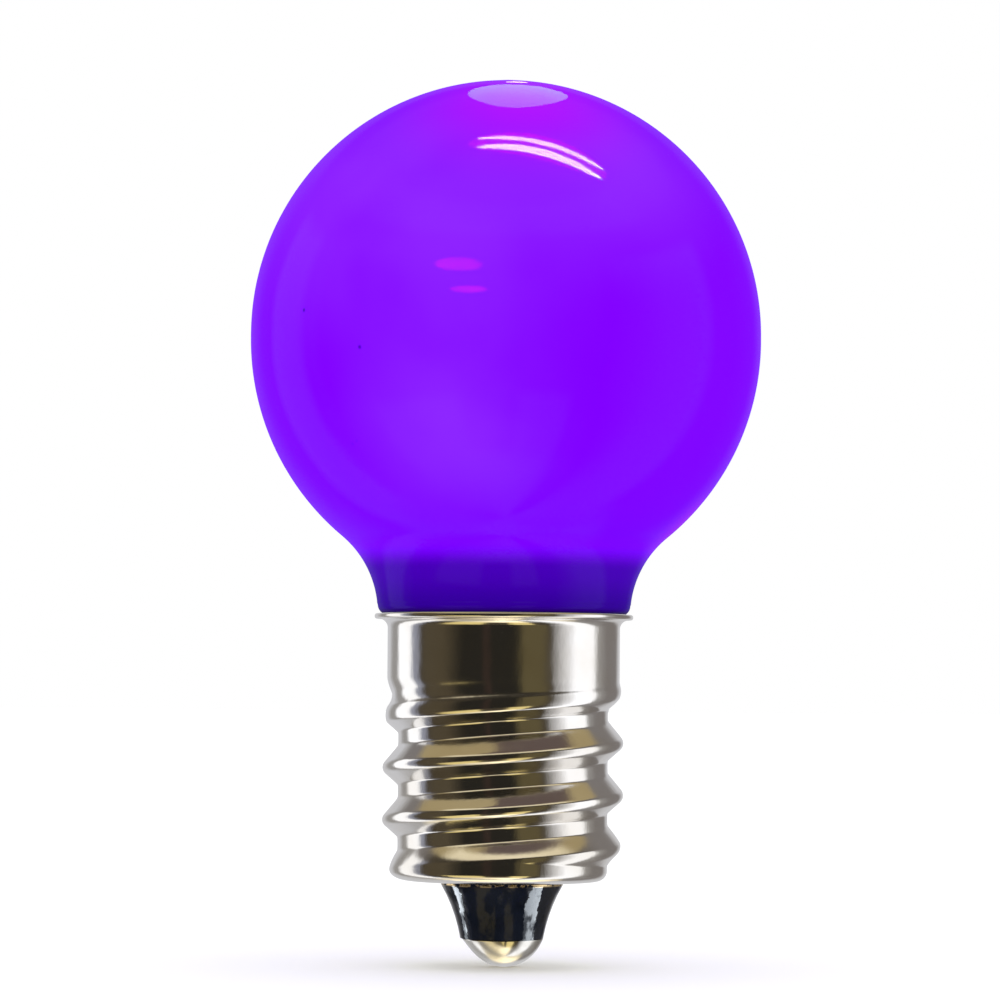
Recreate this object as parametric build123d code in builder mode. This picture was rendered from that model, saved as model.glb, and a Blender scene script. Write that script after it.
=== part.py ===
# Small globe lamp on a candelabra screw cap. A painted glass globe sits in the flared rim of a
# thin rolled shell, whose floor holds a glass insulator with the soldered centre contact.
# The origin is on the axis at the tip of the contact, and +Z runs up through the globe.
import math
import os

from build123d import *

# Globe: two round halves with a short straight belt between them, a shallow tip and a waisted neck
globe_radius = 12.46
belt_height = 0.24
tip_angle = 8.8
tip_round = 3.2
waist_radius = 4.9
neck_radius = 6.16
neck_corner = 0.5
rim_clearance = 0.02
spigot_stand = 0.35
spigot_clearance = 0.06
spigot_chamfer = 0.3

# Cap shell: drawn from thin sheet, flared at the rim and pierced in the floor
wall = 0.25
shell_height = 12.93
band_radius = 5.66
band_height = 3.02
flare_radius = 0.45
lip_radius = 6.30
lip_round = 0.10
floor_corner = 0.40
floor_hole_radius = 3.0

# Rolled thread: right-handed, with a longer flank above each crest than below it. It deepens
# from nothing at the floor's corner, and runs out into the band.
thread_pitch = 2.54
crest_radius = 5.86
thread_depth = 0.76
crest_round = 0.40
upper_flank_angle = 40.0
lower_flank_angle = 49.0
first_crest = 1.63
thread_lead_in = 1.41
thread_run_out = 1.90
guide_radius = 8.0

# Insulator and contact
contact_height = 1.39
contact_radius = 1.92
contact_offset = 0.15
stem_radius = 0.60
stem_clearance = 0.03
stem_stand = 0.30
insulator_height = 2.80
insulator_tip_radius = 2.02
insulator_neck_radius = 2.97
insulator_sag = 0.13
insulator_shoulder = 0.20
collar_margin = 0.10
collar_height = 1.30
collar_round = 0.35

# Heights in the stack of contact, insulator, shell and globe
shell_floor = contact_height + insulator_height
shell_rim = shell_floor + shell_height
flare_start = shell_rim - flare_radius - wall
flare_top = flare_start + flare_radius
band_foot = shell_rim - band_height
thread_foot = shell_floor + floor_corner
thread_full = thread_foot + thread_lead_in
run_out_foot = band_foot - thread_run_out
crest_height = shell_floor + first_crest

# Radii of the sheet's outer face at the thread's root, the floor and the middle of the flare
root_radius = crest_radius - thread_depth
floor_flat_radius = root_radius - floor_corner
flare_centre_radius = band_radius + flare_radius

# Spans of the rolled wall. Each end is a height, the share of the thread's depth that it has
# there, and the plain radius that the rest of the depth is taken up to.
thread_spans = (
    ((thread_foot, 0, root_radius), (thread_full, 1, root_radius)),
    ((thread_full, 1, root_radius), (run_out_foot, 1, root_radius)),
    ((run_out_foot, 1, band_radius), (band_foot, 0, band_radius)),
)

os.makedirs("parts", exist_ok=True)


def circles_meet(first, first_radius, second, second_radius):
    """The point to the left of the way from one centre to the other where two circles meet."""
    span = math.dist(first, second)
    along = (first_radius**2 - second_radius**2 + span**2) / (2 * span)
    aside = math.sqrt(first_radius**2 - along**2)
    way = ((second[0] - first[0]) / span, (second[1] - first[1]) / span)
    return (
        first[0] + along * way[0] - aside * way[1],
        first[1] + along * way[1] + aside * way[0],
    )


def stretch(start, end):
    """Five evenly spaced points of a straight stretch of the thread's section."""
    return [
        (start[0] + (end[0] - start[0]) * step / 4, start[1] + (end[1] - start[1]) * step / 4)
        for step in range(5)
    ]


# The thread's section, as rises above a crest with their radii: the crest's arc, the upper flank,
# the root and the lower flank up to the next crest
upper_flank = math.radians(upper_flank_angle)
lower_flank = math.radians(lower_flank_angle)
arc_radius = crest_radius - crest_round
crest_arc = [
    (crest_round * math.sin(turn), arc_radius + crest_round * math.cos(turn))
    for turn in (-lower_flank, -lower_flank / 2, 0, upper_flank / 2, upper_flank)
]
root_start = crest_arc[4][0] + (crest_arc[4][1] - root_radius) / math.tan(upper_flank)
root_end = thread_pitch + crest_arc[0][0] - (crest_arc[0][1] - root_radius) / math.tan(lower_flank)
root = stretch((root_start, root_radius), (root_end, root_radius))
thread_section = (
    crest_arc,
    stretch(crest_arc[4], root[0]),
    root,
    stretch(root[4], (thread_pitch + crest_arc[0][0], crest_arc[0][1])),
)


def rolled_outline(level, inset):
    """Outline of the rolled wall at one level. Once round the axis is once up the section."""
    height, share, plain_radius = level
    with BuildSketch(Plane.XY.offset(height)) as outline:
        with BuildLine():
            for points in thread_section:
                track = []
                for rise, radius in points:
                    turn = 2 * math.pi * (height - crest_height - rise) / thread_pitch
                    reach = plain_radius + share * (radius - plain_radius) - inset
                    track.append((reach * math.cos(turn), reach * math.sin(turn)))
                if share == 0 or points is root:
                    ThreePointArc(track[0], track[2], track[4])
                else:
                    Spline(track)
        make_face()
    return outline.sketch


def twist_path(low, high):
    """The axis between two heights, and a helix that turns a section about it once a pitch."""
    with BuildLine() as spine:
        Line((0, 0, low), (0, 0, high))
    with BuildLine() as twist:
        Helix(thread_pitch, high - low, guide_radius, center=(0, 0, low))
    return spine.line, twist.line.edges()[0]


def roll_wall(inset):
    """Adds the rolled wall's filled form to the part in hand, set in from its outer face."""
    for low, high in thread_spans:
        spine, twist = twist_path(low[0], high[0])
        levels = [rolled_outline(low, inset), rolled_outline(high, inset)]
        sweep(levels, path=spine, binormal=twist, multisection=True)


# The space inside the shell: the floor hole, the cup, the inner side of the thread and the flare
with BuildPart() as bore:
    roll_wall(wall)
    with BuildSketch(Plane.XZ):
        with BuildLine():
            Polyline(
                (0, thread_foot),
                (0, shell_floor - wall),
                (floor_hole_radius, shell_floor - wall),
                (floor_hole_radius, shell_floor + wall),
                (floor_flat_radius, shell_floor + wall),
            )
            CenterArc((floor_flat_radius, thread_foot), floor_corner - wall, -90, 90)
            Line((root_radius - wall, thread_foot), (0, thread_foot))
        make_face()
    revolve(axis=Axis.Z)
    with BuildSketch(Plane.XZ):
        with BuildLine():
            Polyline((0, band_foot), (band_radius - wall, band_foot), (band_radius - wall, flare_start))
            CenterArc((flare_centre_radius, flare_start), flare_radius + wall, 180, -90)
            Polyline(
                (flare_centre_radius, shell_rim),
                (lip_radius + wall, shell_rim),
                (lip_radius + wall, shell_rim + wall),
                (0, shell_rim + wall),
                (0, band_foot),
            )
        make_face()
    revolve(axis=Axis.Z)

# Rolled shell of nickel-plated brass
with BuildPart() as screw_shell:
    roll_wall(0)
    with BuildSketch(Plane.XZ):
        with BuildLine():
            Polyline((0, thread_foot), (0, shell_floor), (floor_flat_radius, shell_floor))
            CenterArc((floor_flat_radius, thread_foot), floor_corner, -90, 90)
            Line((root_radius, thread_foot), (0, thread_foot))
        make_face()
    revolve(axis=Axis.Z)
    with BuildSketch(Plane.XZ):
        with BuildLine():
            Polyline((0, band_foot), (band_radius, band_foot), (band_radius, flare_start))
            CenterArc((flare_centre_radius, flare_start), flare_radius, 180, -90)
            Line((flare_centre_radius, flare_top), (lip_radius - lip_round, flare_top))
            CenterArc((lip_radius - lip_round, flare_top + lip_round), lip_round, -90, 90)
            Polyline((lip_radius, flare_top + lip_round), (lip_radius, shell_rim), (0, shell_rim), (0, band_foot))
        make_face()
    revolve(axis=Axis.Z)
    add(bore.part, mode=Mode.SUBTRACT)
screw_shell.part.label = "screw_shell"
export_step(screw_shell.part, "parts/screw_shell.step")

# Globe of painted glass: its rounded foot rests in the flare and its spigot enters the band
flare_centre = (flare_centre_radius, flare_start)
waist_centre = (neck_radius + waist_radius, shell_rim)
seat_radius = neck_corner + flare_radius + wall + rim_clearance
corner_centre = circles_meet(flare_centre, seat_radius, waist_centre, waist_radius + neck_corner)
foot_angle = math.degrees(
    math.atan2(waist_centre[1] - corner_centre[1], waist_centre[0] - corner_centre[0])
)
lower_centre = shell_rim + math.sqrt(
    (globe_radius + waist_radius) ** 2 - (neck_radius + waist_radius) ** 2
)
shoulder_angle = math.degrees(math.atan2(lower_centre - shell_rim, waist_centre[0]))
upper_centre = lower_centre + belt_height
tip_slope = math.radians(tip_angle)
tip_centre = upper_centre + (globe_radius - tip_round) / math.cos(tip_slope)
spigot_radius = band_radius - wall - spigot_clearance
foot_height = corner_centre[1] - neck_corner
spigot_foot = band_foot + spigot_stand
with BuildPart() as globe:
    with BuildSketch(Plane.XZ):
        with BuildLine():
            Polyline(
                (0, spigot_foot),
                (spigot_radius - spigot_chamfer, spigot_foot),
                (spigot_radius, spigot_foot + spigot_chamfer),
                (spigot_radius, foot_height),
                (corner_centre[0], foot_height),
            )
            CenterArc(corner_centre, neck_corner, -90, 90 + foot_angle)
            CenterArc(waist_centre, waist_radius, 180 + foot_angle, -foot_angle - shoulder_angle)
            CenterArc((0, lower_centre), globe_radius, -shoulder_angle, shoulder_angle)
            Line((globe_radius, lower_centre), (globe_radius, upper_centre))
            round_top = CenterArc((0, upper_centre), globe_radius, 0, 90 - tip_angle)
            tip_top = CenterArc((0, tip_centre), tip_round, 90 - tip_angle, tip_angle)
            Line(round_top @ 1, tip_top @ 0)
            Line(tip_top @ 1, (0, spigot_foot))
        make_face()
    revolve(axis=Axis.Z)
globe.part.label = "globe"
export_step(globe.part, "parts/globe.step")

# Insulator of black glass: a waisted cone under the floor, and a collar that holds it above
floor_top = shell_floor + wall
collar_radius = floor_flat_radius - collar_margin
collar_top = floor_top + collar_height
stem_hole_radius = stem_radius + stem_clearance
cone_top = shell_floor - insulator_shoulder
with BuildPart() as insulator:
    with BuildSketch(Plane.XZ):
        with BuildLine():
            Line((stem_hole_radius, contact_height), (insulator_tip_radius, contact_height))
            ThreePointArc(
                (insulator_tip_radius, contact_height),
                (
                    (insulator_tip_radius + insulator_neck_radius) / 2 - insulator_sag,
                    (contact_height + cone_top) / 2,
                ),
                (insulator_neck_radius, cone_top),
            )
            Polyline(
                (insulator_neck_radius, cone_top),
                (insulator_neck_radius, floor_top),
                (collar_radius, floor_top),
                (collar_radius, collar_top - collar_round),
            )
            CenterArc((collar_radius - collar_round, collar_top - collar_round), collar_round, 0, 90)
            Polyline(
                (collar_radius - collar_round, collar_top),
                (stem_hole_radius, collar_top),
                (stem_hole_radius, contact_height),
            )
        make_face()
    revolve(axis=Axis.Z)
insulator.part.label = "insulator"
export_step(insulator.part, "parts/insulator.step")

# Centre contact: a dome of solder, a little off the axis, on the eyelet stem through the glass
dome_angle = math.degrees(math.asin((contact_radius - contact_height) / contact_radius))
with BuildPart() as contact:
    with BuildSketch(Plane(origin=(contact_offset, 0, 0), x_dir=(1, 0, 0), z_dir=(0, -1, 0))):
        with BuildLine():
            dome = CenterArc((0, contact_radius), contact_radius, -90, 90 - dome_angle)
            Polyline(dome @ 1, (0, contact_height), dome @ 0)
        make_face()
    revolve(axis=Axis((contact_offset, 0, 0), (0, 0, 1)))
    with Locations((0, 0, contact_height)):
        Cylinder(
            stem_radius,
            collar_top + stem_stand - contact_height,
            align=(Align.CENTER, Align.CENTER, Align.MIN),
        )
contact.part.label = "contact"
export_step(contact.part, "parts/contact.step")
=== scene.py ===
import math

import bmesh
import bpy
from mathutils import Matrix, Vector


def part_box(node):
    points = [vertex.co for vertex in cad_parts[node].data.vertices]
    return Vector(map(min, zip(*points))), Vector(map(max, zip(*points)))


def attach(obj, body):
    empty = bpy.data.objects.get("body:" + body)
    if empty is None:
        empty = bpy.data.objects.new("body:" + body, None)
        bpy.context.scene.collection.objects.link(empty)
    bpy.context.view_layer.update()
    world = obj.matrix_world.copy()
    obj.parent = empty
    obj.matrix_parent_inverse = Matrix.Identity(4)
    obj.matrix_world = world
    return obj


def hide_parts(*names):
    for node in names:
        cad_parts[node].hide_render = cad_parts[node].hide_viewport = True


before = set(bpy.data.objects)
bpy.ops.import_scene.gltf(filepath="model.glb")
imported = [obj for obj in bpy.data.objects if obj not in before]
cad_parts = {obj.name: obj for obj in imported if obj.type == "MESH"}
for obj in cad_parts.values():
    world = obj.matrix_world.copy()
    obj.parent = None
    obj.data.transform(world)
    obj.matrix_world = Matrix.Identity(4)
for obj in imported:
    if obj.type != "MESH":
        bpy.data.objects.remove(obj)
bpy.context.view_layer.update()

# Screw shell: a cup drawn from thin brass sheet and nickel-plated bright. Its right-hand thread
# is rolled into the wall, so each groove shows outside and in, and runs out into the smooth band
# under the flared rim. Lengths here and below are in millimetres.
MM = 0.001
AROUND = 240
QUARTER_TURN = math.pi / 2
wall = 0.25
band_radius = 5.66
crest_radius = 5.86
root_radius = 5.10
root_softness = 0.05
crest_round = 0.40
upper_flank = math.radians(40)
lower_flank = math.radians(49)
pitch = 2.54
first_crest = 5.82
thread_deepens = (2.2, 7.0)
nose_ends = (5.2, 5.8)
groove_ends = (12.2, 14.1)
ridge_sinks = (10.9, 12.2)
ridge_sunk_share = 0.62
ridge_ends = (13.3, 14.5)
floor_height = 4.19
floor_round = 0.5
floor_hole = 3.0
floor_flat = 4.0
flare_radius = 0.45
lip_radius = 6.30
lip_round = 0.10
rim_height = 17.12
outer_rows = 235
inner_rows = 60
plate_clean = (0.83, 0.82, 0.81, 1.0)
plate_warm = (0.76, 0.73, 0.68, 1.0)


def arc(centre, radius, start, end, steps):
    """Points of a profile arc in the (radius, height) plane, angles in radians."""
    return [
        (
            centre[0] + radius * math.cos(start + (end - start) * i / steps),
            centre[1] + radius * math.sin(start + (end - start) * i / steps),
        )
        for i in range(steps + 1)
    ]


def turned(name, profile, swell=None):
    """A closed skin turned about the axis from a profile whose first and last points close it.
    swell(angle, radius, height) gives the true radius where the form isn't round."""
    skin = bmesh.new()
    rings = []
    for radius, height in profile:
        if radius == 0:
            rings.append([skin.verts.new((0, 0, height * MM))])
            continue
        ring = []
        for i in range(AROUND):
            angle = 2 * math.pi * i / AROUND
            reach = swell(angle, radius, height) if swell else radius
            corner = Vector((reach * math.cos(angle), reach * math.sin(angle), height))
            ring.append(skin.verts.new(corner * MM))
        rings.append(ring)
    closing = [rings[0]] if len(rings[0]) > 1 else []
    for low, high in zip(rings, rings[1:] + closing):
        for i in range(AROUND):
            after = (i + 1) % AROUND
            quad = (low[i % len(low)], low[after % len(low)], high[after % len(high)], high[i % len(high)])
            corners = list(dict.fromkeys(quad))
            if len(corners) > 2:
                skin.faces.new(corners)
    bmesh.ops.recalc_face_normals(skin, faces=skin.faces)
    mesh = bpy.data.meshes.new(name)
    skin.to_mesh(mesh)
    skin.free()
    mesh.shade_smooth()
    piece = bpy.data.objects.new(name, mesh)
    bpy.context.scene.collection.objects.link(piece)
    return piece


def ease(value, low, high):
    """0 below low and 1 above high, with a smooth rise between them."""
    share = min(max((value - low) / (high - low), 0), 1)
    return share * share * (3 - 2 * share)


def rolled_section(above):
    """Radius of the rolled section at a height above its crest, one pitch long."""
    height = above if above < pitch / 2 else above - pitch
    flank = upper_flank if height > 0 else lower_flank
    side = abs(height)
    turn = crest_round * math.sin(flank)
    centre = crest_radius - crest_round
    if side < turn:
        ridge = centre + math.sqrt(crest_round**2 - side**2)
    else:
        ridge = centre + crest_round * math.cos(flank) - (side - turn) * math.tan(flank)
    gap = ridge - root_radius
    return root_radius + (gap + math.sqrt(gap * gap + root_softness * root_softness)) / 2


def rolled_wall(angle, radius, height):
    """True radius of the wall: the thread, whose last crest spreads into the nose over the floor,
    and its run-out at the band."""
    corner_foot = root_radius - floor_round
    if corner_foot < radius < root_radius:
        swollen = rolled_wall(angle, band_radius, floor_height + floor_round)
        return radius + (radius - corner_foot) / floor_round * (swollen - root_radius)
    if not math.isclose(radius, band_radius) and not math.isclose(radius, band_radius - wall):
        return radius
    nearest_crest = first_crest + pitch * angle / (2 * math.pi)
    section = rolled_section((height - nearest_crest) % pitch)
    section = root_radius + ease(height, *thread_deepens) * (section - root_radius)
    last_crest = nearest_crest - pitch
    if height < last_crest:
        nose = ease(last_crest, *thread_deepens) * (1 - ease(last_crest, *nose_ends))
        section = max(section, root_radius + nose * (crest_radius - root_radius))
    groove = 1 - ease(height, *groove_ends)
    sunk = ridge_sunk_share * ease(height, *ridge_sinks)
    ridge = 1 - sunk - (1 - ridge_sunk_share) * ease(height, *ridge_ends)
    rise = section - band_radius
    outer = band_radius + (ridge * rise if rise > 0 else groove * rise)
    return outer - (band_radius - radius)


rim_start = rim_height - wall - flare_radius
wall_foot = floor_height + floor_round
wall_rise = rim_start - wall_foot
flare_centre = (band_radius + flare_radius, rim_start)
corner_centre = (root_radius - floor_round, wall_foot)
lip_centre = lip_radius - lip_round
shell_profile = (
    [(floor_hole, floor_height + wall), (floor_hole, floor_height), (floor_flat, floor_height)]
    + arc(corner_centre, floor_round, -QUARTER_TURN, 0, steps=10)[:-1]
    + [(band_radius, wall_foot + wall_rise * i / outer_rows) for i in range(outer_rows + 1)]
    + arc(flare_centre, flare_radius, math.pi, QUARTER_TURN, steps=12)[1:]
    + arc((lip_centre, rim_start + flare_radius + lip_round), lip_round, -QUARTER_TURN, 0, steps=6)
    + arc((lip_centre, rim_height - lip_round), lip_round, 0, QUARTER_TURN, steps=6)
    + arc(flare_centre, flare_radius + wall, QUARTER_TURN, math.pi, steps=12)[:-1]
    + [(band_radius - wall, rim_start - wall_rise * i / inner_rows) for i in range(inner_rows + 1)]
    + arc(corner_centre, floor_round - wall, 0, -QUARTER_TURN, steps=6)[1:]
    + [(floor_flat, floor_height + wall)]
)
shell = turned("cap_screw_shell", shell_profile, rolled_wall)


class Finish:
    """A node material in the making: its shader, and patterns laid on the piece itself."""

    def __init__(self, name):
        self.material = bpy.data.materials.new(name)
        self.material.use_nodes = True
        self.nodes = self.material.node_tree.nodes
        self.link = self.material.node_tree.links.new
        self.shader = self.nodes["Principled BSDF"]
        self.place = self.nodes.new("ShaderNodeTexCoord").outputs["Object"]

    def set(self, **numbers):
        """Numbers that are the same all over, by the shader's names with _ for a space."""
        for name, number in numbers.items():
            self.shader.inputs[name.replace("_", " ")].default_value = number

    def drive(self, name, value):
        """A quality of the shader that a pattern gives."""
        self.link(value, self.shader.inputs[name])

    def patches(self, scale, detail=2.0, stretch=(1, 1, 1)):
        """Soft random patches from 0 to 1, drawn out along an axis where stretch is small."""
        laid = self.nodes.new("ShaderNodeMapping")
        laid.inputs["Scale"].default_value = stretch
        noise = self.nodes.new("ShaderNodeTexNoise")
        noise.inputs["Scale"].default_value = scale
        noise.inputs["Detail"].default_value = detail
        self.link(self.place, laid.inputs["Vector"])
        self.link(laid.outputs["Vector"], noise.inputs["Vector"])
        return noise.outputs["Fac"]

    def graded(self, share, *stops):
        """A colour that follows a share through stops, each a share and its colour."""
        ramp = self.nodes.new("ShaderNodeValToRGB")
        marks = ramp.color_ramp.elements
        marks.remove(marks[1])
        marks[0].position, marks[0].color = stops[0]
        for position, colour in stops[1:]:
            marks.new(position).color = colour
        self.link(share, ramp.inputs["Fac"])
        return ramp.outputs["Color"]

    def ranged(self, share, low, high, first=0.0, last=1.0):
        """A number from first to last as a value goes from low to high, eased at both ends."""
        span = self.nodes.new("ShaderNodeMapRange")
        span.interpolation_type = "SMOOTHSTEP"
        for name, number in (("From Min", low), ("From Max", high), ("To Min", first), ("To Max", last)):
            span.inputs[name].default_value = number
        self.link(share, span.inputs["Value"])
        return span.outputs["Result"]

    def product(self, first, second):
        """One share times another."""
        times = self.nodes.new("ShaderNodeMath")
        times.operation = "MULTIPLY"
        self.link(first, times.inputs[0])
        self.link(second, times.inputs[1])
        return times.outputs["Value"]

    def mixed(self, share, first, second):
        """Mix of two colours, or of colours that other nodes give, by a share."""
        mix = self.nodes.new("ShaderNodeMix")
        mix.data_type = "RGBA"
        self.link(share, mix.inputs["Factor"])
        for socket, value in ((mix.inputs["A"], first), (mix.inputs["B"], second)):
            if isinstance(value, tuple):
                socket.default_value = value
            else:
                self.link(value, socket)
        return mix.outputs["Result"]

    def height_above_floor(self):
        """Height of the surface over the contact's tip, in metres."""
        split = self.nodes.new("ShaderNodeSeparateXYZ")
        self.link(self.place, split.inputs["Vector"])
        return split.outputs["Z"]

    def near(self, point, reach):
        """1 at a point in millimetres, and down to 0 at its reach."""
        way = self.nodes.new("ShaderNodeVectorMath")
        way.operation = "DISTANCE"
        way.inputs[1].default_value = [c * MM for c in point]
        self.link(self.place, way.inputs[0])
        return self.ranged(way.outputs["Value"], 0, reach * MM, first=1, last=0)

    def relief(self, height, depth):
        """Raises the surface by a share of a depth in millimetres."""
        bump = self.nodes.new("ShaderNodeBump")
        bump.inputs["Distance"].default_value = depth * MM
        self.link(height, bump.inputs["Height"])
        self.drive("Normal", bump.outputs["Normal"])


plate = Finish("nickel_plate")
stain = plate.patches(scale=260, detail=4)
plate.drive("Base Color", plate.graded(stain, (0.35, plate_warm), (0.65, plate_clean)))
plate.drive("Roughness", plate.ranged(stain, 0.3, 0.7, first=0.16, last=0.09))
plate.relief(plate.patches(scale=500, detail=6, stretch=(1, 1, 0.5)), depth=0.03)
plate.set(Metallic=1.0)
shell.data.materials.append(plate.material)
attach(shell, "root")
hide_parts("screw_shell")

# Insulator: black glass pressed into the floor of the shell while hot, so it swells above the
# floor and hangs below it as a waisted cone that holds the centre contact clear of the shell.
# Flecks of bare brass from the pierced edge are caught in its upper rim.
glass_black = (0.003, 0.004, 0.007, 1.0)
glass_blue_black = (0.010, 0.013, 0.022, 1.0)
bare_brass = (0.74, 0.56, 0.30, 1.0)
fleck_start = 3.93
fleck_full = 4.06
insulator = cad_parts["insulator"]
black_glass = Finish("black_glass")
ripple = black_glass.patches(scale=520, detail=4)
glass_tone = black_glass.graded(ripple, (0.3, glass_black), (0.7, glass_blue_black))
rim_zone = black_glass.ranged(black_glass.height_above_floor(), fleck_start * MM, fleck_full * MM)
scattered = black_glass.ranged(black_glass.patches(scale=3200, detail=3), 0.44, 0.54)
fleck = black_glass.product(scattered, rim_zone)
dull_marks = black_glass.patches(scale=1500, detail=4, stretch=(1, 1, 0.5))
black_glass.drive("Base Color", black_glass.mixed(fleck, glass_tone, bare_brass))
black_glass.drive("Metallic", fleck)
black_glass.drive("Specular IOR Level", black_glass.ranged(dull_marks, 0.40, 0.50, first=0.03, last=0.22))
black_glass.relief(ripple, depth=0.06)
black_glass.set(Roughness=0.06)
insulator.data.materials.clear()
insulator.data.materials.append(black_glass.material)

# Globe: a small blown glass ball with a waisted neck, dipped in an opaque purple lacquer and
# cemented by its neck into the flared rim of the cap. Painted reflections of the room's soft light
# lie on the lacquer as cloudy lighter violet patches. A painted glow surrounds the top highlight on
# the crown, and a painted sheen in redder violet sits low on the right. The lacquer holds a few
# specks of dust, and painted shade darkens the neck above the rim.
globe_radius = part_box("globe")[1].x / MM
neck_radius = 6.16
neck_corner = 0.5
waist_radius = 4.9
waist_start = 0.1
belt_height = 0.24
tip_angle = math.radians(8.8)
tip_round = 3.2
spigot_radius = 5.35
spigot_depth = 2.7
foot_drop = 0.06
purple = (0.190, 0.0, 1.0, 1.0)
# Lighter violet: painted reflection of the room's soft light.
painted_reflection_violet = (0.235, 0.017, 1.0, 1.0)
# Redder violet on the crown: a painted glow round the top highlight.
crown_highlight_violet = (0.36, 0.004, 1.0, 1.0)
# Redder, darker violet: a painted sheen low on the globe's right side.
right_sheen_colour = (0.30, 0.0, 0.86, 1.0)
# Painted shade in the neck, deepest just above the rim.
neck_shade_deep = (0.028, 0.0, 0.27, 1.0)
neck_shade_dark = (0.056, 0.0, 0.42, 1.0)
dust = (0.05, 0.0, 0.35, 1.0)
# Places of the painted reflections of the room's soft light, each with its reach.
painted_reflection_places = (
    ((-5.5, -9.0, 37.2), 10.5),
    ((4.8, -8.6, 38.6), 8.0),
    ((-2.6, -11.0, 26.0), 7.2),
    ((-1.5, -9.0, 33.0), 8.0),
)
# Place and reach of the painted highlight glow on the crown.
crown_highlight_place, crown_highlight_reach = (0.8, -6.5, 42.0), 7.5
# Place and reach of the painted sheen on the right.
right_sheen_place, right_sheen_reach = (9.0, -1.0, 21.0), 3.2
speck_places = ((-6.78, -10.35, 29.29), (-6.89, -8.69, 25.07), (-7.09, -8.45, 24.94), (-9.51, -8.04, 31.2))
speck_reach = 0.16
# Heights over which the painted neck shade lightens, and then fades out into the purple.
neck_shade_lightens = (17.2, 19.3)
neck_shade_fades_out = (19.2, 20.4)

waist_reach = neck_radius + waist_radius
waist_centre = (waist_reach, rim_height)
lower_centre = rim_height + math.sqrt((globe_radius + waist_radius) ** 2 - waist_reach**2)
upper_centre = lower_centre + belt_height
shoulder = math.atan2(lower_centre - rim_height, waist_reach)
tip_centre = upper_centre + (globe_radius - tip_round) / math.cos(tip_angle)
foot_height = rim_height - foot_drop
spigot_foot = foot_height - spigot_depth
globe_profile = (
    [(0, spigot_foot), (spigot_radius, spigot_foot), (spigot_radius, foot_height)]
    + arc((neck_radius - neck_corner, foot_height + neck_corner), neck_corner, -QUARTER_TURN, 0, steps=10)
    + arc(waist_centre, waist_radius, math.pi - waist_start, math.pi - shoulder, steps=40)
    + arc((0, lower_centre), globe_radius, -shoulder, 0, steps=60)[1:]
    + arc((0, upper_centre), globe_radius, 0, QUARTER_TURN - tip_angle, steps=80)
    + arc((0, tip_centre), tip_round, QUARTER_TURN - tip_angle, QUARTER_TURN, steps=12)[:-1]
    + [(0, tip_centre + tip_round)]
)
globe = turned("globe_lacquered", globe_profile)

lacquer = Finish("purple_lacquer")
# Painted reflections: cloudy lighter violet patches where the room's soft light would mirror on the globe.
reflection_cloud_mask = lacquer.ranged(lacquer.patches(scale=90, detail=3), 0.32, 0.62, first=0.35)
tone = purple
for point, reach in painted_reflection_places:
    tone = lacquer.mixed(lacquer.product(reflection_cloud_mask, lacquer.near(point, reach)), tone, painted_reflection_violet)
# Painted highlight: a redder glow round the top highlight on the crown.
tone = lacquer.mixed(lacquer.near(crown_highlight_place, crown_highlight_reach), tone, crown_highlight_violet)
# Painted reflection: a redder violet sheen low on the right side.
tone = lacquer.mixed(lacquer.near(right_sheen_place, right_sheen_reach), tone, right_sheen_colour)
for speck in speck_places:
    tone = lacquer.mixed(lacquer.near(speck, speck_reach), tone, dust)
# Painted shade: the neck darkens towards the rim and fades into the purple higher up.
height = lacquer.height_above_floor()
neck_low, neck_high = (level * MM for level in neck_shade_lightens)
neck = lacquer.mixed(lacquer.ranged(height, neck_low, neck_high), neck_shade_deep, neck_shade_dark)
fade_low, fade_high = (level * MM for level in neck_shade_fades_out)
lacquer.drive("Base Color", lacquer.mixed(lacquer.ranged(height, fade_low, fade_high), neck, tone))
lacquer.set(Roughness=0.4, Specular_IOR_Level=0.0, Coat_Weight=0.10, Coat_Roughness=0.015)
globe.data.materials.append(lacquer.material)
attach(globe, "root")
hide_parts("globe")

# Centre contact: a bead of bright solder run over the end of the centre wire's eyelet. It set a
# little off the axis and spread further over the glass on one side.
bead_radius = 1.92
bead_height = 1.39
bead_chamfer = 0.02
bead_seat = 1.6
bead_offset = 0.13
bead_spread = 0.28
broad_lumps = 0.035
broad_lumps_turn = 0.6
fine_lumps = 0.02
stem_radius = 0.60
stem_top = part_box("contact")[1].z / MM
dome_top = bead_height - bead_chamfer / 2
solder_dull = (0.56, 0.54, 0.49, 1.0)
solder_bright = (0.82, 0.81, 0.78, 1.0)


def lumpy_bead(angle, radius, height):
    """True radius of the bead: round at its tip, and uneven and spread to one side at its edge."""
    if height > dome_top:
        return radius
    edge = (height / bead_height) ** 3
    lumps = broad_lumps * math.cos(3 * angle + broad_lumps_turn) + fine_lumps * math.cos(5 * angle)
    return radius + edge * (lumps + bead_spread * max(0, -math.cos(angle)))


edge_turn = math.asin((bead_height - bead_chamfer - bead_radius) / bead_radius)
bead_profile = (
    [(0, stem_top), (stem_radius, stem_top), (stem_radius, bead_height), (bead_seat, bead_height)]
    + arc((0, bead_radius), bead_radius, edge_turn, -QUARTER_TURN, steps=40)[:-1]
    + [(0, 0)]
)
contact = turned("solder_contact", bead_profile, lumpy_bead)
for corner in contact.data.vertices:
    if corner.co.z < dome_top * MM:
        corner.co.x += bead_offset * MM

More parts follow.
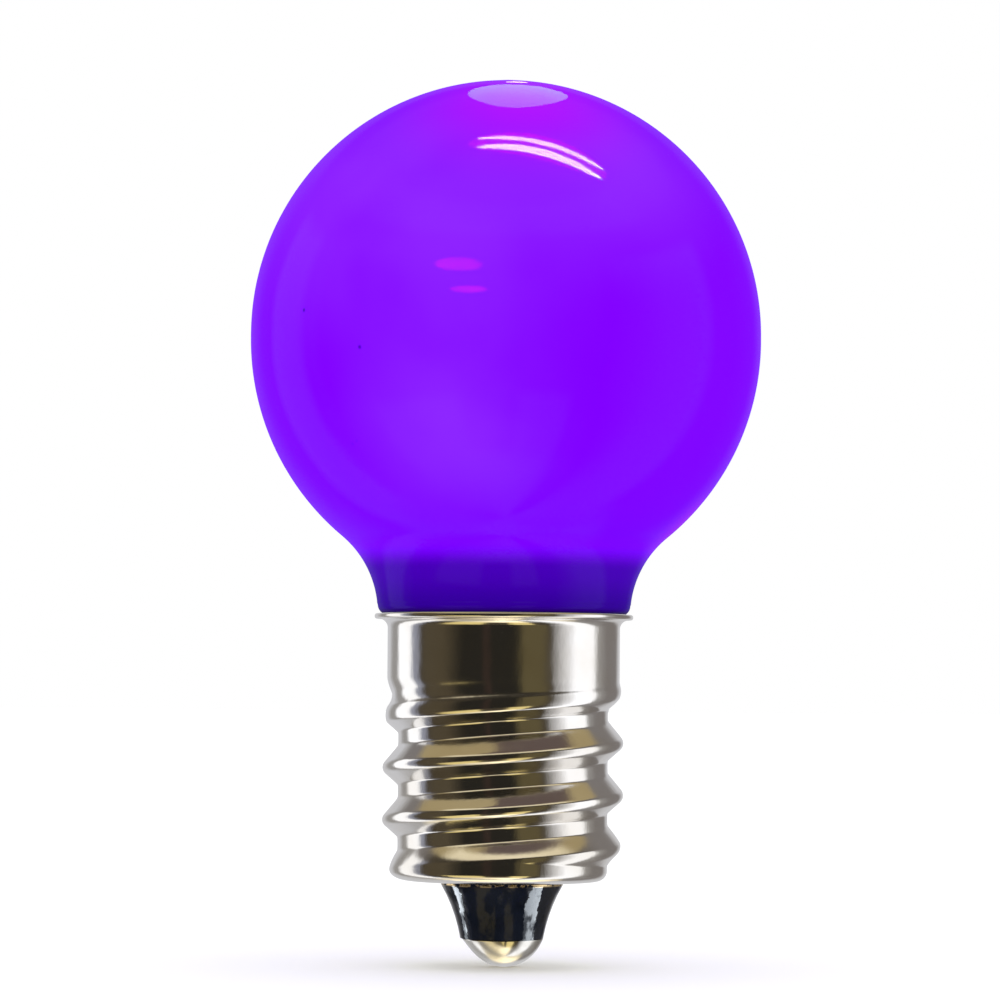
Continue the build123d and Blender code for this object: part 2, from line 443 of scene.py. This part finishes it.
solder = Finish("bright_solder")
grain = solder.patches(scale=700, detail=3)
solder.drive("Base Color", solder.graded(grain, (0.35, solder_dull), (0.65, solder_bright)))
solder.drive("Roughness", solder.ranged(grain, 0.3, 0.7, first=0.26, last=0.14))
solder.relief(grain, depth=0.02)
solder.set(Metallic=1.0)
contact.data.materials.append(solder.material)
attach(contact, "root")
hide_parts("contact")

# Studio: a plain pale floor under the contact and a white sweep. The plate and the solder mirror
# the room round the set: white panels left and right, a dark camera side over a lit gold bench,
# and a tan ceiling. Each lamp is mirrored by one piece alone, the globe or the insulator.
floor_half = 2
floor_mesh = bpy.data.meshes.new("studio_floor")
floor_corners = [(x * floor_half, y * floor_half, 0) for x, y in ((-1, -1), (1, -1), (1, 1), (-1, 1))]
floor_mesh.from_pydata(floor_corners, [], [(0, 1, 2, 3)])
floor = bpy.data.objects.new("studio_floor", floor_mesh)
bpy.context.scene.collection.objects.link(floor)
pale = Finish("pale_floor")
floor_tones = ((0.3, (0.92, 0.92, 0.92, 1.0)), (0.7, (0.94, 0.94, 0.94, 1.0)))
pale.drive("Base Color", pale.graded(pale.patches(scale=3), *floor_tones))
pale.set(Roughness=0.9, Specular_IOR_Level=0.0)
floor_mesh.materials.append(pale.material)
floor.visible_glossy = False
floor.visible_shadow = False

white = (1.1, 1.1, 1.12)
silver_grey = (0.72, 0.71, 0.71)
pale_grey = (0.55, 0.55, 0.57)
grey = (0.30, 0.29, 0.28)
dim_grey = (0.20, 0.185, 0.18)
slate = (0.27, 0.28, 0.34)
black = (0.020, 0.018, 0.014)
russet = (0.040, 0.026, 0.020)
brown = (0.060, 0.048, 0.032)
olive = (0.078, 0.062, 0.038)
khaki = (0.105, 0.084, 0.040)
dim_violet = (0.115, 0.085, 0.075)
tan = (0.37, 0.295, 0.155)
gold = (0.80, 0.64, 0.26)
cream = (0.80, 0.70, 0.48)
lit_cream = (1.5, 1.3, 0.88)
level_room = [
    (-180, black), (-168, black), (-163, russet), (-158, black), (-138, black), (-118, olive), (-98, olive),
    (-90, brown), (-84, slate), (-79, slate), (-73, white), (-54, white), (-48, grey), (-38, grey),
    (-25, pale_grey), (20, pale_grey), (32, dim_grey), (56, dim_grey), (72, grey), (80, white), (103, white),
    (114, silver_grey), (127, grey), (133, brown), (141, khaki), (160, khaki), (169, black), (180, black),
]
bench = [
    (-180, brown), (-160, brown), (-154, gold), (-116, gold), (-108, brown), (-86, brown), (-80, slate),
    (-74, white), (-54, white), (-46, grey), (-25, pale_grey), (20, pale_grey), (34, dim_grey), (72, grey),
    (80, white), (105, white), (122, grey), (130, brown), (145, brown), (150, gold), (170, gold),
    (176, brown), (180, brown),
]
under_bench = [
    (-180, lit_cream), (-130, cream), (-95, grey), (-60, cream), (-30, lit_cream), (35, lit_cream),
    (60, cream), (85, white), (110, white), (124, grey), (140, grey), (155, lit_cream), (180, lit_cream),
]
top_shelf = [(-180, black), (-90, brown), (-60, dim_grey), (60, dim_grey), (110, brown), (180, black)]
ceiling = [(-180, cream), (-110, cream), (-90, tan), (90, tan), (110, cream), (180, cream)]
overhead = [
    (-180, dim_violet), (-150, dim_violet), (-132, tan), (62, tan), (80, dim_violet), (180, dim_violet),
]
room = bpy.data.worlds.new("studio_room")
bpy.context.scene.world = room
room.use_nodes = True
room.cycles.sampling_method = "NONE"
room_nodes = room.node_tree.nodes
link = room.node_tree.links.new
way = room_nodes.new("ShaderNodeTexCoord")
split = room_nodes.new("ShaderNodeSeparateXYZ")
link(way.outputs["Generated"], split.inputs["Vector"])
bearing = room_nodes.new("ShaderNodeMath")
bearing.operation = "ARCTAN2"
link(split.outputs["X"], bearing.inputs[0])
link(split.outputs["Y"], bearing.inputs[1])
round_share = room_nodes.new("ShaderNodeMapRange")
round_share.inputs["From Min"].default_value = -math.pi
round_share.inputs["From Max"].default_value = math.pi
link(bearing.outputs["Value"], round_share.inputs["Value"])
ray = room_nodes.new("ShaderNodeLightPath")


def room_ring(stops):
    """Colours of the room round the set, by bearing in degrees from behind the object."""
    ring = room_nodes.new("ShaderNodeValToRGB")
    link(round_share.outputs["Result"], ring.inputs["Fac"])
    marks = ring.color_ramp.elements
    marks.remove(marks[1])
    marks[0].position, marks[0].color = 0, (*stops[0][1], 1)
    for degrees, colour in stops[1:]:
        marks.new((degrees + 180) / 360).color = (*colour, 1)
    return ring.outputs["Color"]


def layered(low, high, under, over):
    """One ring of the room over another, from low to high in the direction's rise."""
    rise = room_nodes.new("ShaderNodeMapRange")
    rise.interpolation_type = "SMOOTHSTEP"
    rise.inputs["From Min"].default_value = low
    rise.inputs["From Max"].default_value = high
    link(split.outputs["Z"], rise.inputs["Value"])
    mix = room_nodes.new("ShaderNodeMix")
    mix.data_type = "RGBA"
    link(rise.outputs["Result"], mix.inputs["Factor"])
    link(under, mix.inputs["A"])
    link(over, mix.inputs["B"])
    return mix.outputs["Result"]


def room_light(strength):
    """A white light from all round, of one strength."""
    light = room_nodes.new("ShaderNodeBackground")
    light.inputs["Color"].default_value = (1, 1, 1, 1)
    light.inputs["Strength"].default_value = strength
    return light


def chosen(ray_kind, others, these):
    """One light for the rays of a kind and another for all others."""
    choice = room_nodes.new("ShaderNodeMixShader")
    link(ray.outputs[ray_kind], choice.inputs[0])
    link(others.outputs[0], choice.inputs[1])
    link(these.outputs[0], choice.inputs[2])
    return choice


around_set = layered(-0.90, -0.76, room_ring(under_bench), room_ring(bench))
around_set = layered(-0.52, -0.40, around_set, room_ring(level_room))
around_set = layered(0.42, 0.52, around_set, room_ring(top_shelf))
around_set = layered(0.60, 0.69, around_set, room_ring(ceiling))
around_set = layered(0.78, 0.86, around_set, room_ring(overhead))
mirrored = room_light(1.15)
link(around_set, mirrored.inputs["Color"])
soft_fill = room_light(1.25)
sweep = room_light(1.0)
lit = chosen("Is Diffuse Ray", mirrored, soft_fill)
shown = chosen("Is Camera Ray", lit, sweep)
link(shown.outputs[0], room_nodes["World Output"].inputs["Surface"])

globe.visible_glossy = False
only_globe = bpy.data.collections.new("mirrored_by_globe")
only_globe.objects.link(globe)
only_insulator = bpy.data.collections.new("mirrored_by_insulator")
only_insulator.objects.link(insulator)
aim_heights = {only_globe: 38, only_insulator: 3}


def hung_lamp(name, mirrored_by, place, size, power, turn=None, shape="ELLIPSE", colour=(1, 1, 1)):
    """A lamp at a place in millimetres that only one piece mirrors. It is turned about the
    vertical where a turn in degrees is given, and else faces the piece."""
    lamp = bpy.data.lights.new(name, "AREA")
    lamp.shape = shape
    lamp.size, lamp.size_y = size[0] * MM, size[1] * MM
    lamp.energy = power
    lamp.color = colour
    holder = bpy.data.objects.new(name, lamp)
    holder.location = Vector(place) * MM
    if turn is None:
        aim = Vector((0, 0, aim_heights[mirrored_by])) - Vector(place)
        holder.rotation_euler = aim.to_track_quat("-Z", "Y").to_euler()
    else:
        holder.rotation_euler = (0, 0, math.radians(turn))
    holder.visible_diffuse = False
    holder.visible_camera = False
    holder.light_linking.receiver_collection = mirrored_by
    bpy.context.scene.collection.objects.link(holder)


magenta_light = (1.0, 0.0, 1.0)
violet_light = (0.25, 0.6, 1.0)
sky_light = (0.84, 0.92, 1.0)
hung_lamp("overhead_tube_back", only_globe, (87, 10, 430), (302, 22), 1.45, turn=-5.5)
hung_lamp("overhead_tube_front", only_globe, (88, -33, 430), (310, 32), 2.65, turn=-6.6)
hung_lamp("overhead_tube_glow", only_globe, (84, -12, 432), (330, 112), 2.2, turn=-6.0, colour=magenta_light)
hung_lamp("window_behind", only_globe, (12, 347, 399), (132, 292), 1.5, colour=violet_light)
hung_lamp("window_spot", only_globe, (6, 462, 232), (14, 40), 0.022)
hung_lamp("front_glow_high", only_globe, (-177, -424, 256), (185, 52), 1.2, colour=magenta_light)
hung_lamp("front_glow_low", only_globe, (-144, -472, 166), (140, 26), 0.5, colour=magenta_light)
hung_lamp("low_window_left", only_insulator, (-249, 126, -108), (60, 140), 0.45, None, "RECTANGLE", sky_light)
hung_lamp("low_window_right", only_insulator, (237, -30, -147), (175, 150), 1.5, None, "RECTANGLE", sky_light)

# Camera: level with the top of the thread, looking up a little, and rolled by a hair.
camera_place = (-0.167, -200, 13.6)
camera_view = 13.91
camera_rise = 2.606
camera_roll = -0.424
camera_data = bpy.data.cameras.new("photo_camera")
camera_data.sensor_width = 36
camera_data.angle = math.radians(camera_view)
camera_data.clip_start = 0.001
camera = bpy.data.objects.new("photo_camera", camera_data)
camera.location = Vector(camera_place) * MM
camera.rotation_mode = "XYZ"
camera.rotation_euler = (math.radians(90 + camera_rise), math.radians(camera_roll), 0)
bpy.context.scene.collection.objects.link(camera)
bpy.context.scene.camera = camera
bpy.context.scene.view_settings.view_transform = "Standard"
